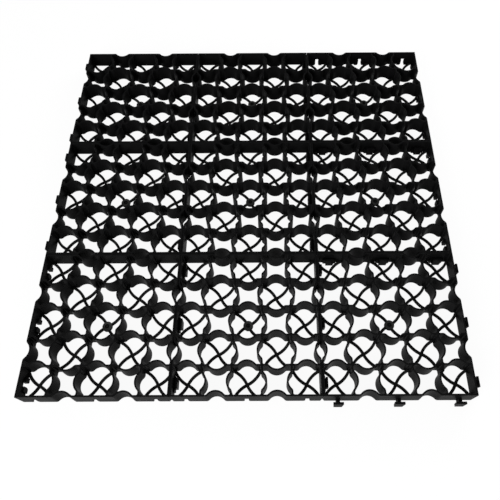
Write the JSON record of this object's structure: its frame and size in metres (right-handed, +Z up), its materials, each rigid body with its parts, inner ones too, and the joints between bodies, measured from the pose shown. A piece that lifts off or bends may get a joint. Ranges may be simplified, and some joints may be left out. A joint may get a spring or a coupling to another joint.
{
  "type": "grass paver grid",
  "caption": "Flat mat of clipped square plastic tiles, each an open grid of round and star-shaped cells that holds soil or gravel and carries traffic over grass.",
  "frame": {"origin": "middle of the mat on its underside", "axes": "+Z up out of the open cells, +X to the right and -Y towards the side seen in front in the picture"},
  "size_m": [1.0252, 1.0252, 0.05],
  "materials": {
    "black_plastic": "moulded semi-matt black"
  },
  "bodies": {
    "root": {"tile_front_left": "black_plastic", "tile_front_centre": "black_plastic", "tile_front_right": "black_plastic", "tile_middle_left": "black_plastic", "tile_middle_centre": "black_plastic", "tile_middle_right": "black_plastic", "tile_back_left": "black_plastic", "tile_back_centre": "black_plastic", "tile_back_right": "black_plastic"}
  },
  "joints": []
}
